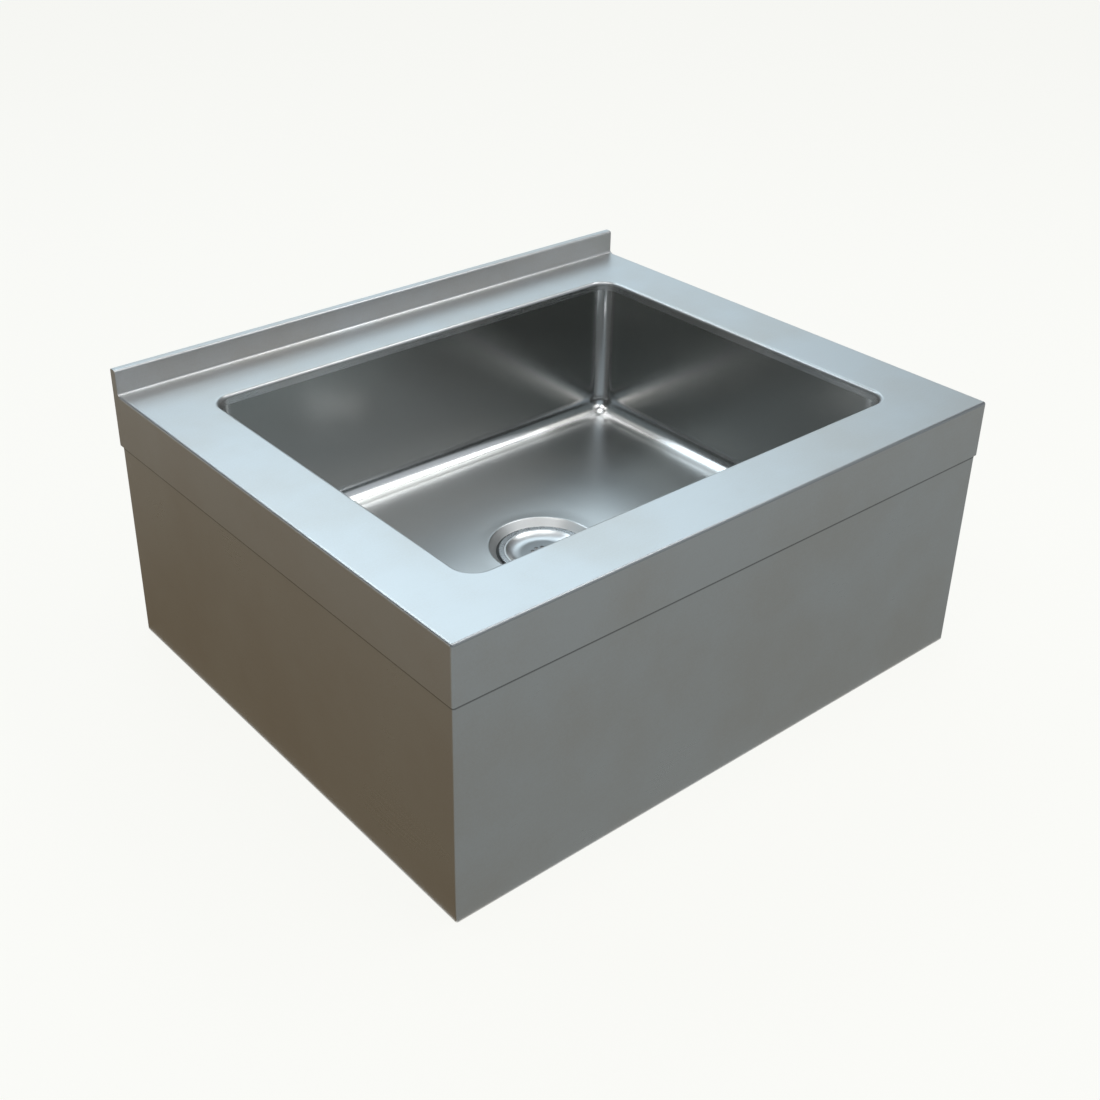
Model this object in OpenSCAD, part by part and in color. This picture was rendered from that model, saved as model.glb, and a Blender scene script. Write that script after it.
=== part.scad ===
// Mop service sink: floor-standing stainless steel sink with one deep-drawn bowl.
// Millimetres. +Z up, +X to the right along the front, +Y towards the wall.
// The origin is the middle of the footprint, on the floor.

/* [Overall] */
// Width along the front
body_w = 635; // [600:1:760]
// Depth from the front edge to the wall side
body_d = 533.4; // [510:0.1:640]
// Height of the deck above the floor
deck_h = 272.5; // [260:0.5:330]

/* [Sheet] */
// Thickness of the steel sheet
sheet_t = 1.5; // [1:0.1:2]
// Outer radius of the sheet's bends and of the upright corners
bend_r = 2.5; // [2.2:0.1:4]

/* [Deck] */
// Height of the band turned down round the deck
band_h = 56.6; // [40:0.1:80]
// Height of the riser above the deck
riser_h = 26; // [15:1:60]
// Thickness of the riser from front to back
riser_t = 9.5; // [7:0.5:20]
// Radius where the deck turns up into the riser
riser_cove_r = 3; // [2:0.5:6]

/* [Bowl] */
// Width of the deck on either side of the bowl
side_margin = 65; // [60:0.5:80]
// Width of the deck in front of the bowl
front_margin = 64; // [60:0.5:80]
// Width of the deck between the bowl and the riser
back_margin = 63; // [60:0.5:80]
// Depth of the bowl's walls below the deck
bowl_depth = 160.5; // [130:0.5:175]
// Radius of the upright corners and of the cove round the floor
cove_r = 20; // [15:1:40]
// Radius of the rolled lip
lip_r = 4; // [2.5:0.5:6]
// Depth of the lip's collar, where the bowl is welded on
lip_drop = 10; // [7:1:20]
// Fall of the floor from the coves to the drain recess
floor_fall = 4; // [2:0.5:8]

/* [Drain recess] */
// Distance of the drain behind the middle of the bowl
drain_back = 5; // [-20:0.5:40]
// Depth of the recess
recess_depth = 7.5; // [6:0.5:12]
// Slope of the recess wall in degrees
recess_slope = 45; // [35:1:55]
// Flat ring between the drain's flange and the recess wall
recess_rim = 1.6; // [1:0.1:4]

/* [Skirt] */
// Overlap of the skirt behind the band
skirt_lap = 35; // [20:1:45]
// Width of the flange turned in along the floor
flange_w = 25; // [15:1:30]

/* [Under the deck] */
// Distance between the sides of a channel and the edges of the deck that it stiffens
channel_side = 12.5; // [11:0.5:16]
// Depth of a stiffening channel
channel_h = 22; // [15:1:25]
// Distance of a side channel's ends from the deck's edge and the riser
channel_end = 20; // [12:1:60]
// Distance between a side channel and the end of a cross channel
channel_gap = 3; // [1:0.5:10]
// Radius of a weld stud
stud_r = 3; // [2.5:0.5:4]
// Length of a weld stud below the deck
stud_len = 14; // [10:1:18]
// Height of a stud nut
nut_h = 5; // [4:0.5:6.5]
// Width of a stud nut across its flats
nut_flats = 10; // [9:0.5:13]

/* [Damping pads] */
// Length of a pad
pad_l = 240; // [100:5:320]
// Height of a pad
pad_h = 84; // [40:1:100]
// Thickness of a pad
pad_t = 3; // [2:0.5:5]
// Corner radius of a pad
pad_r = 8; // [4:1:15]

/* [Floor anchors] */
// Length of an anchor plate's two long sides
anchor_len = 90; // [75:1:130]
// Width of an anchor plate's clipped ends
anchor_nose = 16; // [8:1:30]
// Thickness of an anchor plate
anchor_t = 3; // [2:0.5:5]
// Distance of an anchor hole from the sink's two outer faces
anchor_in = 42; // [38:1:45]
// Radius of an anchor hole
anchor_hole_r = 5.5; // [4:0.5:7]

/* [Drain] */
// Radius of the drain's flange
drain_flange_r = 45.8; // [45.5:0.1:48]
// Thickness of the drain's flange
drain_flange_t = 1.6; // [1.5:0.1:2.5]
// Thickness of the seal under the flange
seal_t = 0.5; // [0.4:0.1:1]
// Thickness of the threaded barrel's wall
barrel_wall = 2.1; // [2:0.1:2.6]
// Width of the ledge in the barrel's mouth that carries the cup
ledge_w = 1.5; // [1:0.1:1.6]
// Length of the threaded barrel below the flange
barrel_len = 36; // [28:1:40]
// Height of the cone between barrel and outlet
cone_h = 10; // [6:1:14]
// Outer radius of the outlet
outlet_r = 30.15; // [24:0.05:32]
// Thickness of the outlet's wall
outlet_wall = 3.9; // [2.5:0.1:5]
// Length of the outlet
outlet_len = 30; // [20:1:32]

/* [Drain fixings] */
// Thickness of the rubber gasket
gasket_t = 3; // [2:0.5:5]
// Width of the gasket's ring
gasket_w = 4.5; // [3:0.5:5]
// Thickness of the fibre washer
washer_t = 1; // [0.5:0.1:2]
// Width of the fibre washer's ring
washer_w = 5; // [3:0.5:7]
// Height of the locknut
locknut_h = 9; // [6:0.5:12]
// Thickness of the locknut's ring
locknut_wall = 6.5; // [5:0.5:9]
// Length of a lug on the locknut
lug_len = 6; // [3:0.5:9]
// Width of a lug
lug_w = 9; // [6:0.5:14]
// Number of lugs
lug_count = 6; // [4:1:8]

/* [Crumb cup] */
// Radius of the cup's rim
cup_rim_r = 40.6; // [40.2:0.1:41]
// Width of the rim's flat ring
cup_rim_w = 1.6; // [1.5:0.1:3]
// Thickness of the cup's metal
cup_t = 1; // [0.8:0.1:1.1]
// Depth of the dish inside
cup_depth = 4.3; // [4:0.1:6]
// Radius of the dish's flat floor
cup_floor_r = 24.5; // [22:0.5:26]
// Radius of a perforation
perf_r = 2; // [1.5:0.1:2.5]
// Distance between the rings of perforations
perf_step = 6.2; // [6:0.1:7]
// Number of rings of perforations
perf_rings = 2; // [1:1:3]

/* [Clearances] */
// Clearance between the lifting cup and the drain
cup_gap = 0.3; // [0.2:0.05:0.35]
// Clearance of a thread or a stud in its hole
thread_gap = 0.05; // [0.03:0.01:0.1]
// Clearance of a stud in a channel's hole
stud_gap = 0.4; // [0.2:0.1:1]
// Clearance of the recess's hole and of the fixings' rings round the barrel
ring_gap = 0.7; // [0.3:0.1:1]

/* [Hidden] */
$fn = 96;
// Overrun of a cut past the faces that it opens
over = 1;

// Deck and riser
riser_face_y = body_d / 2 - riser_t;
cove_start_y = riser_face_y - riser_cove_r;
band_low_z = deck_h - band_h;
under_deck_z = deck_h - sheet_t;

// Bowl
bowl_w = body_w - 2 * side_margin;
bowl_front_y = -body_d / 2 + front_margin;
bowl_back_y = riser_face_y - back_margin;
bowl_l = bowl_back_y - bowl_front_y;
bowl_y = (bowl_front_y + bowl_back_y) / 2;
floor_z = deck_h - bowl_depth;
mouth_z = floor_z - floor_fall;
collar_z = deck_h - lip_drop;

// Drain recess
drain_y = bowl_y + drain_back;
seat_z = mouth_z - recess_depth;
bend_rise = bend_r * (1 - cos(recess_slope));
bend_run = bend_r * sin(recess_slope);
wall_run = (recess_depth - 2 * bend_rise) / tan(recess_slope);
seat_r = drain_flange_r + recess_rim;
recess_r = seat_r + wall_run + 2 * bend_run;

// Skirt
skirt_w = body_w - 2 * sheet_t;
skirt_d = body_d - 2 * sheet_t;
skirt_top_z = band_low_z + skirt_lap;
foot_r = (bend_r + sheet_t) / 2;

// Channels: middle, length and turn of each, as [x, y, length, degrees]
channel_w = min(side_margin, front_margin, back_margin) - 2 * channel_side;
side_channel_x = (body_w - side_margin) / 2;
side_channel_len = riser_face_y + body_d / 2 - 2 * channel_end;
side_channel_y = (riser_face_y - body_d / 2) / 2;
cross_channel_len = 2 * (side_channel_x - channel_w / 2 - channel_gap);
front_channel = [0, bowl_front_y - front_margin / 2, cross_channel_len, 0];
back_channel = [0, bowl_back_y + back_margin / 2, cross_channel_len, 0];
left_channel = [-side_channel_x, side_channel_y, side_channel_len, 90];
right_channel = [side_channel_x, side_channel_y, side_channel_len, 90];
channels = [front_channel, back_channel, left_channel, right_channel];
// Places of the two studs along a channel
stud_shares = [-0.38, 0.38];
web_z = under_deck_z - sheet_t;

// Damping pads
pad_z = (collar_z + floor_z + cove_r) / 2;

// Drain
cup_edge_r = cup_rim_r + cup_gap;
barrel_bore_r = cup_edge_r - ledge_w;
barrel_r = barrel_bore_r + barrel_wall;
hole_r = barrel_r + ring_gap;
flange_low_z = seat_z + seal_t;
flange_top_z = flange_low_z + drain_flange_t;
barrel_low_z = flange_low_z - barrel_len;
outlet_bore_r = outlet_r - outlet_wall;
outlet_top_z = barrel_low_z - cone_h;
outlet_low_z = outlet_top_z - outlet_len;
gasket_z = seat_z - sheet_t - gasket_t;
washer_z = gasket_z - washer_t;
locknut_z = washer_z - locknut_h;

// Crumb cup
cup_r = cup_rim_r - cup_rim_w;
rim_low_z = flange_top_z - cup_t;
cup_seat_z = rim_low_z - cup_gap;
cup_floor_z = flange_top_z - cup_depth;
dish_run = cup_r - cup_floor_r;
dish_r = (dish_run * dish_run + cup_depth * cup_depth) / (2 * cup_depth);
dish_turn = asin(dish_run / dish_r);

// Points on an arc about c, from angle a to angle b
arc_steps = 8;
function arc(c, r, a, b) = [for (i = [0 : arc_steps])
    c + r * [cos(a + (b - a) * i / arc_steps), sin(a + (b - a) * i / arc_steps)]];

// A quarter of a bent sheet, in the quadrant that starts at the given turn
module quarter_bend(inner_r, outer_r, turn) {
    intersection() {
        difference() {
            circle(outer_r);
            circle(inner_r);
        }
        rotate(turn) square(outer_r);
    }
}

// Rectangle with round corners, about the origin
module rounded_rect(w, l, r) {
    square([w - 2 * r, l], center = true);
    square([w, l - 2 * r], center = true);
    for (sx = [-1, 1], sy = [-1, 1]) translate([sx * (w / 2 - r), sy * (l / 2 - r)]) circle(r);
}

// A straight run of a section along Y, with the section's x pointing outwards along +X
module run(length) {
    rotate([90, 0, 0]) linear_extrude(length, center = true) children();
}

// The section taken all round a rectangle with round corners; its x = 0 lies on the outline
module frame_sweep(w, l, r) {
    for (turn = [0, 180]) rotate(turn) translate([w / 2, 0, 0]) run(l - 2 * r) children();
    for (turn = [90, 270]) rotate(turn) translate([l / 2, 0, 0]) run(w - 2 * r) children();
    for (corner = [[1, 1, 0], [-1, 1, 90], [-1, -1, 180], [1, -1, 270]])
        translate([corner.x * (w / 2 - r), corner.y * (l / 2 - r), 0])
            rotate(corner.z) rotate_extrude(angle = 90) translate([r, 0]) children();
}

// Sections

module lip_section() {
    translate([lip_r, deck_h - lip_r]) quarter_bend(lip_r - sheet_t, lip_r, 90);
    translate([0, collar_z]) square([sheet_t, lip_drop - lip_r]);
}

module band_bend_section() {
    translate([-bend_r, deck_h - bend_r]) quarter_bend(bend_r - sheet_t, bend_r, 0);
}

module band_leg_section() {
    translate([-sheet_t, band_low_z]) square([sheet_t, band_h - bend_r]);
}

module riser_section() {
    top_z = deck_h + riser_h;
    translate([cove_start_y, deck_h + riser_cove_r])
        quarter_bend(riser_cove_r, riser_cove_r + sheet_t, 270);
    translate([riser_face_y, deck_h + riser_cove_r])
        square([sheet_t, riser_h - riser_cove_r - bend_r]);
    translate([riser_face_y + bend_r, top_z - bend_r]) quarter_bend(bend_r - sheet_t, bend_r, 90);
    translate([riser_face_y + bend_r, top_z - sheet_t]) square([riser_t - 2 * bend_r, sheet_t]);
    translate([body_d / 2 - bend_r, top_z - bend_r]) quarter_bend(bend_r - sheet_t, bend_r, 0);
    translate([body_d / 2 - sheet_t, band_low_z]) square([sheet_t, band_h + riser_h - bend_r]);
}

module riser_cap_section() {
    low_z = deck_h - bend_r;
    translate([riser_face_y, low_z]) square([riser_t, riser_h]);
    translate([riser_face_y + bend_r, low_z]) square([riser_t - 2 * bend_r, riser_h + bend_r]);
    for (y = [riser_face_y + bend_r, body_d / 2 - bend_r]) translate([y, low_z + riser_h]) circle(bend_r);
    difference() {
        translate([cove_start_y, low_z]) square([riser_cove_r, bend_r + riser_cove_r]);
        translate([cove_start_y, deck_h + riser_cove_r]) circle(riser_cove_r);
    }
}

module bowl_section() {
    cove_z = floor_z + cove_r;
    translate([0, cove_z]) square([sheet_t, collar_z - cove_z]);
    translate([-cove_r, cove_z]) quarter_bend(cove_r, cove_r + sheet_t, 270);
}

module recess_section() {
    upper = [recess_r, mouth_z - bend_r];
    lower = [seat_r, seat_z + bend_r];
    slope_end = 90 + recess_slope;
    polygon(concat(
        arc(upper, bend_r, 90, slope_end),
        arc(lower, bend_r, slope_end + 180, 270),
        [[hole_r, seat_z], [hole_r, seat_z - sheet_t]],
        arc(lower, bend_r + sheet_t, 270, slope_end + 180),
        arc(upper, bend_r - sheet_t, slope_end, 90)));
}

module skirt_section() {
    translate([-sheet_t, foot_r]) square([sheet_t, skirt_top_z - foot_r]);
    translate([-foot_r, foot_r]) quarter_bend(foot_r - sheet_t, foot_r, 270);
}

module channel_section() {
    translate([-channel_w / 2 + bend_r, -sheet_t]) square([channel_w - 2 * bend_r, sheet_t]);
    for (side = [0, 1]) mirror([side, 0]) {
        translate([channel_w / 2 - bend_r, -bend_r]) quarter_bend(bend_r - sheet_t, bend_r, 0);
        translate([channel_w / 2 - sheet_t, -channel_h]) square([sheet_t, channel_h - bend_r]);
    }
}

// Deck

module deck() {
    color("silver") {
        difference() {
            translate([-body_w / 2 + bend_r, -body_d / 2 + bend_r, under_deck_z])
                cube([body_w - 2 * bend_r, cove_start_y + body_d / 2 - bend_r, sheet_t]);
            translate([0, bowl_y, under_deck_z - over]) linear_extrude(sheet_t + 2 * over)
                rounded_rect(bowl_w + 2 * lip_r, bowl_l + 2 * lip_r, cove_r + lip_r);
        }
        translate([0, bowl_y, 0]) frame_sweep(bowl_w, bowl_l, cove_r) lip_section();
        deck_band();
        rotate([90, 0, 90]) linear_extrude(body_w - 2 * sheet_t, center = true) riser_section();
    }
}

// The edge turned down along the front and both sides
module deck_band() {
    front_y = -body_d / 2 + bend_r;
    bend_len = cove_start_y - front_y;
    leg_len = body_d / 2 - front_y;
    rotate(270) translate([body_d / 2, 0, 0]) run(body_w - 2 * bend_r) {
        band_bend_section();
        band_leg_section();
    }
    for (side = [0, 1]) mirror([side, 0, 0]) {
        translate([body_w / 2, front_y + bend_len / 2, 0]) run(bend_len) band_bend_section();
        translate([body_w / 2, front_y + leg_len / 2, 0]) run(leg_len) band_leg_section();
        translate([body_w / 2 - bend_r, front_y, 0]) rotate(270) rotate_extrude(angle = 90)
            translate([bend_r, 0]) {
                band_bend_section();
                band_leg_section();
            }
    }
}

module riser_cap(side) {
    color("silver") translate([side * (body_w - sheet_t) / 2, 0, 0])
        rotate([90, 0, 90]) linear_extrude(sheet_t, center = true) riser_cap_section();
}

module riser_cap_left() { riser_cap(-1); }
module riser_cap_right() { riser_cap(1); }

// Bowl

// Sheet floor that falls from the coves to the drain recess
module bowl_floor() {
    flat_w = bowl_w - 2 * cove_r;
    flat_l = bowl_l - 2 * cove_r;
    mouth_r = recess_r + bend_r;
    difference() {
        hull() {
            translate([-flat_w / 2, bowl_y - flat_l / 2, floor_z - sheet_t]) cube([flat_w, flat_l, sheet_t]);
            translate([0, drain_y, mouth_z - sheet_t]) cylinder(r = mouth_r, h = sheet_t, $fn = 64);
        }
        hull() {
            translate([-flat_w / 2, bowl_y - flat_l / 2, floor_z]) cube([flat_w, flat_l, over]);
            translate([0, drain_y, mouth_z]) cylinder(r = mouth_r, h = sheet_t, $fn = 64);
        }
        translate([0, drain_y, mouth_z - sheet_t - over]) cylinder(r = recess_r, h = sheet_t + 2 * over);
    }
}

module bowl() {
    color("lightgrey") {
        translate([0, bowl_y, 0]) frame_sweep(bowl_w, bowl_l, cove_r) bowl_section();
        bowl_floor();
        translate([0, drain_y, 0]) rotate_extrude() recess_section();
    }
}

// Skirt

// One side of the skirt, facing +X, with half of each corner and a mitred floor flange
module skirt_panel(face, length) {
    half = length / 2;
    translate([face, 0, 0]) run(length - 2 * bend_r) skirt_section();
    linear_extrude(sheet_t) polygon([
        [face - foot_r, -half + bend_r],
        [face - foot_r, half - bend_r],
        [face - bend_r, half - bend_r],
        [face - flange_w, half - flange_w],
        [face - flange_w, -half + flange_w],
        [face - bend_r, -half + bend_r]]);
    for (end = [0, 1]) mirror([0, end, 0]) translate([face - bend_r, half - bend_r, 0]) {
        rotate_extrude(angle = 45) translate([bend_r, 0]) skirt_section();
        linear_extrude(sheet_t) intersection() {
            circle(bend_r - foot_r);
            polygon([[0, 0], [bend_r, 0], [bend_r, bend_r]]);
        }
    }
}

module front_skirt() { color("darkgrey") rotate(270) skirt_panel(skirt_d / 2, skirt_w); }
module back_skirt() { color("darkgrey") rotate(90) skirt_panel(skirt_d / 2, skirt_w); }
module left_skirt() { color("darkgrey") rotate(180) skirt_panel(skirt_w / 2, skirt_d); }
module right_skirt() { color("darkgrey") skirt_panel(skirt_w / 2, skirt_d); }

// Channels under the deck

// Children at the two studs of a channel
module at_studs(place) {
    translate([place.x, place.y, 0]) rotate(place[3])
        for (share = stud_shares) translate([share * place[2], 0, 0]) children();
}

module channel(place) {
    color("gainsboro") difference() {
        translate([place.x, place.y, under_deck_z]) rotate(place[3] + 90) run(place[2]) channel_section();
        at_studs(place) translate([0, 0, web_z - over]) cylinder(r = stud_r + stud_gap, h = sheet_t + 2 * over);
    }
}

module channel_front() { channel(front_channel); }
module channel_back() { channel(back_channel); }
module channel_left() { channel(left_channel); }
module channel_right() { channel(right_channel); }

module channel_studs() {
    color("silver") for (place = channels) at_studs(place)
        translate([0, 0, under_deck_z - stud_len]) cylinder(r = stud_r, h = stud_len);
}

module channel_nuts() {
    color("dimgrey") for (place = channels) at_studs(place) translate([0, 0, web_z - nut_h]) difference() {
        cylinder(r = nut_flats / 2 / cos(30), h = nut_h, $fn = 6);
        translate([0, 0, -over]) cylinder(r = stud_r + thread_gap, h = nut_h + 2 * over);
    }
}

// Damping pads on the bowl's side walls

module pad(side) {
    color("dimgrey") translate([side * (bowl_w / 2 + sheet_t + pad_t / 2), bowl_y, pad_z])
        rotate([90, 0, 90]) linear_extrude(pad_t, center = true) rounded_rect(pad_l, pad_h, pad_r);
}

module pad_left() { pad(-1); }
module pad_right() { pad(1); }

// Anchor plates in the corners, on the floor flange

module anchor_plate(side, end) {
    inner = sheet_t + bend_r;
    color("silver") mirror([side < 0 ? 1 : 0, 0, 0]) mirror([0, end < 0 ? 1 : 0, 0])
        translate([body_w / 2, body_d / 2, sheet_t]) difference() {
            linear_extrude(anchor_t) polygon([
                [-inner, -inner],
                [-inner, -anchor_len],
                [-inner - anchor_nose, -anchor_len],
                [-anchor_len, -inner - anchor_nose],
                [-anchor_len, -inner]]);
            translate([-anchor_in, -anchor_in, -over]) cylinder(r = anchor_hole_r, h = anchor_t + 2 * over);
        }
}

module anchor_front_left() { anchor_plate(-1, -1); }
module anchor_front_right() { anchor_plate(1, -1); }
module anchor_back_left() { anchor_plate(-1, 1); }
module anchor_back_right() { anchor_plate(1, 1); }

// Drain

module drain_body() {
    color("silver") translate([0, drain_y, 0]) rotate_extrude() polygon([
        [barrel_r, flange_low_z],
        [drain_flange_r, flange_low_z],
        [drain_flange_r, flange_top_z - cup_gap],
        [drain_flange_r - cup_gap, flange_top_z],
        [cup_edge_r, flange_top_z],
        [cup_edge_r, cup_seat_z],
        [barrel_bore_r, cup_seat_z],
        [barrel_bore_r, barrel_low_z],
        [outlet_bore_r, outlet_top_z],
        [outlet_bore_r, outlet_low_z],
        [outlet_r, outlet_low_z],
        [outlet_r, outlet_top_z],
        [barrel_r, barrel_low_z]]);
}

// A flat ring round the barrel
module barrel_ring(gap, width, low_z, height) {
    translate([0, drain_y, low_z]) difference() {
        cylinder(r = barrel_r + gap + width, h = height);
        translate([0, 0, -over]) cylinder(r = barrel_r + gap, h = height + 2 * over);
    }
}

module flange_seal() {
    color("dimgrey") barrel_ring(ring_gap, drain_flange_r - barrel_r - 2 * ring_gap, seat_z, seal_t);
}

module drain_gasket() {
    color("dimgrey") barrel_ring(ring_gap, gasket_w, gasket_z, gasket_t);
}

module friction_washer() {
    color("tan") barrel_ring(ring_gap, washer_w, washer_z, washer_t);
}

module drain_locknut() {
    lug_root = barrel_r + locknut_wall / 2;
    color("goldenrod") {
        barrel_ring(thread_gap, locknut_wall, locknut_z, locknut_h);
        translate([0, drain_y, locknut_z]) for (i = [1 : lug_count]) rotate(i * 360 / lug_count)
            translate([lug_root, -lug_w / 2, 0]) cube([locknut_wall / 2 + lug_len, lug_w, locknut_h]);
    }
}

// Crumb cup

module crumb_cup_section() {
    centre = [cup_floor_r, cup_floor_z + dish_r];
    polygon(concat(
        [[0, cup_floor_z]],
        arc(centre, dish_r, 270, 270 + dish_turn),
        [[cup_rim_r, flange_top_z], [cup_rim_r, rim_low_z]],
        arc(centre, dish_r + cup_t, 270 + dish_turn, 270),
        [[0, cup_floor_z - cup_t]]));
}

module crumb_cup() {
    color("white") translate([0, drain_y, 0]) difference() {
        rotate_extrude() crumb_cup_section();
        translate([0, 0, cup_floor_z - cup_t - over]) {
            cylinder(r = perf_r, h = cup_t + 2 * over);
            for (ring = [1 : perf_rings], i = [1 : 6 * ring])
                rotate(i * 60 / ring) translate([ring * perf_step, 0, 0])
                    cylinder(r = perf_r, h = cup_t + 2 * over);
        }
    }
}

deck();
riser_cap_left();
riser_cap_right();
bowl();
front_skirt();
back_skirt();
left_skirt();
right_skirt();
channel_front();
channel_back();
channel_left();
channel_right();
channel_studs();
channel_nuts();
pad_left();
pad_right();
anchor_front_left();
anchor_front_right();
anchor_back_left();
anchor_back_right();
drain_body();
flange_seal();
drain_gasket();
friction_washer();
drain_locknut();
crumb_cup();
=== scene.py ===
import math
import bpy
from mathutils import Matrix, Vector


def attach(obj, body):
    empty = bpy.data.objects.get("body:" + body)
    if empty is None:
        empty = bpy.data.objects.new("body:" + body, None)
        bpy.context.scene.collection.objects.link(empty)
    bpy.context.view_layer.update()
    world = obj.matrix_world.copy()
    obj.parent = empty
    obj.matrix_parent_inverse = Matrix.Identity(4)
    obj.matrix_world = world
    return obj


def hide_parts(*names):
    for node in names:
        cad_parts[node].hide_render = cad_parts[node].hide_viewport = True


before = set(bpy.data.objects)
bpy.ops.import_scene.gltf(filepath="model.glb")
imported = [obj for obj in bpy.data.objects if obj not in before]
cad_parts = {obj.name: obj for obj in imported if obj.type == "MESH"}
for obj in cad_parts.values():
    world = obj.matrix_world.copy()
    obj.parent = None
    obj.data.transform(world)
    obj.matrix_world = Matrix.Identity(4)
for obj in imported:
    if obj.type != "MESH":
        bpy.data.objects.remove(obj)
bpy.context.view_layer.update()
mm = 0.001
drainMiddle = (0, 0.75 * mm)  # the drain's upright axis
drainRound = 128  # steps round the drain and its pieces


def shown(name, data):
    item = bpy.data.objects.new(name, data)
    bpy.context.scene.collection.objects.link(item)
    return item


def picked(sizes, *keys):
    return [sizes[key] for key in keys]


# Mesh making: faces whose corners carry their own normals, so that bends run into flats without a shade

class Shell:
    def __init__(self):
        self.points, self.lookup, self.faces, self.normals = [], {}, [], []

    def corner(self, point):
        key = tuple(round(c * 1e7) for c in point)
        if key not in self.lookup:
            self.lookup[key] = len(self.points)
            self.points.append(tuple(point))
        return self.lookup[key]

    def face(self, corners):  # (point, normal) pairs in order round the face
        kept = []
        for point, normal in corners:
            index = self.corner(point)
            if not kept or kept[-1][0] != index:
                kept.append((index, Vector(normal)))
        if len(kept) > 1 and kept[0][0] == kept[-1][0]:
            kept.pop()
        if len(kept) < 3:
            return
        middle = Vector((0, 0, 0))
        for a, b in zip(kept, kept[1:] + kept[:1]):
            middle += Vector(self.points[a[0]]).cross(Vector(self.points[b[0]]))
        if middle.dot(sum((n for _, n in kept), Vector((0, 0, 0)))) < 0:
            kept.reverse()
        self.faces.append([index for index, _ in kept])
        self.normals += [n.normalized() for _, n in kept]

    def move(self, matrix):  # a matrix that mirrors turns the faces round as well
        self.points = [tuple(matrix @ Vector(p)) for p in self.points]
        self.normals = [matrix.to_3x3() @ n for n in self.normals]
        if matrix.determinant() < 0:
            rest = iter(self.normals)
            self.normals = [n for face in self.faces for n in [next(rest) for _ in face][::-1]]
            self.faces = [face[::-1] for face in self.faces]

    def build(self, name, material):
        mesh = bpy.data.meshes.new(name)
        mesh.from_pydata(self.points, [], self.faces)
        mesh.polygons.foreach_set("use_smooth", [True] * len(mesh.polygons))
        mesh.normals_split_custom_set(self.normals)
        mesh.materials.append(material)
        return shown(name, mesh)


# ways in a section
outward, inward, upward, downward = Vector((1, 0)), Vector((-1, 0)), Vector((0, 1)), Vector((0, -1))


def at(x, y, normal):  # a point of a section, or of a path, with its normal
    return Vector((x, y)), normal


def pairs(row):
    return list(zip(row, row[1:]))


def heading(angle):  # unit length, turned from the x axis, in radians
    return Vector((math.cos(angle), math.sin(angle)))


def spoke(degrees):
    return heading(math.radians(degrees))


def skyWay(azimuth, elevation):  # unit length, from the wall side towards the right, and up
    a, e = math.radians(azimuth), math.radians(elevation)
    return Vector((math.sin(a) * math.cos(e), math.cos(a) * math.cos(e), math.sin(e)))


def arcPath(centre, radius, start, end, steps, facing=1):
    # facing 1: normals leave the centre, -1: they meet it
    outs = [spoke(start + (end - start) * i / steps) for i in range(steps + 1)]
    return [(Vector(centre) + radius * out, facing * out) for out in outs]


def sheetLoop(path, thickness, rims=(False, True), edge=0.2 * mm):
    # the section of a bent sheet: its lines, its seen side, its hidden side,
    # and the sheared ends that rims asks for
    seen = [(Vector(p), Vector(n)) for p, n in path]
    hidden = [(p - n * thickness, -n) for p, n in seen]
    ends = {}
    for end in (1, 0):
        if rims[end]:
            (tip, out), (before, _) = (seen[-1], seen[-2]) if end else seen[:2]
            ahead, backTip = (tip - before).normalized(), tip - out * thickness
            ends[end] = [(tip - ahead * edge, out), (tip - out * edge, ahead),
                         (backTip + out * edge, ahead), (backTip - ahead * edge, -out)]
            seen[-end], hidden[-end] = ends[end][0], ends[end][3]
    return sum(map(pairs, (seen, hidden, *ends.values())), []), seen, hidden, ends


def roundedLoop(corners, steps=4):  # closed outline, anticlockwise; each corner is (x, y, radius)
    spans = []
    count = len(corners)
    for i, (x, y, radius) in enumerate(corners):
        here = Vector((x, y))
        back = (Vector(corners[i - 1][:2]) - here).normalized()
        ahead = (Vector(corners[(i + 1) % count][:2]) - here).normalized()
        nBack, nAhead = Vector((-back.y, back.x)), Vector((ahead.y, -ahead.x))
        if radius <= 0:
            spans.append([(here, nBack), (here, nAhead)])
            continue
        half = math.acos(max(-1, min(1, back.dot(ahead)))) / 2
        reach = radius / math.tan(half)
        centre = here + (back + ahead).normalized() * (radius / math.sin(half))
        convex = nBack.dot(here - centre) > 0
        a0 = here + back * reach - centre
        a1 = here + ahead * reach - centre
        turn = math.atan2(a0.x * a1.y - a0.y * a1.x, a0.dot(a1))
        span = []
        for k in range(steps + 1):
            arm = Matrix.Rotation(turn * k / steps, 2) @ a0
            span.append((centre + arm, arm.normalized() * (1 if convex else -1)))
        spans.append(span)
    segments = []
    for i, span in enumerate(spans):
        segments += pairs(span) + [(span[-1], spans[(i + 1) % count][0])]
    return [(start, stop) for start, stop in segments if (start[0] - stop[0]).length > 1e-8]


def place(flat, column):  # a section's (out, z) set up at one column of a path
    (x, z), (base, out) = Vector(flat), column
    return Vector((base.x + out.x * x, base.y + out.y * x, z))


def lean(normal, column):
    return place(normal, at(0, 0, column[1]))


def sweep(shell, segments, columns, closed):
    ahead = columns[1:] + (columns[:1] if closed else [])
    for here, there in zip(columns, ahead):
        for start, stop in segments:
            corners = ((start, here), (stop, here), (stop, there), (start, there))
            shell.face([(place(p, column), lean(n, column)) for (p, n), column in corners])


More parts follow.
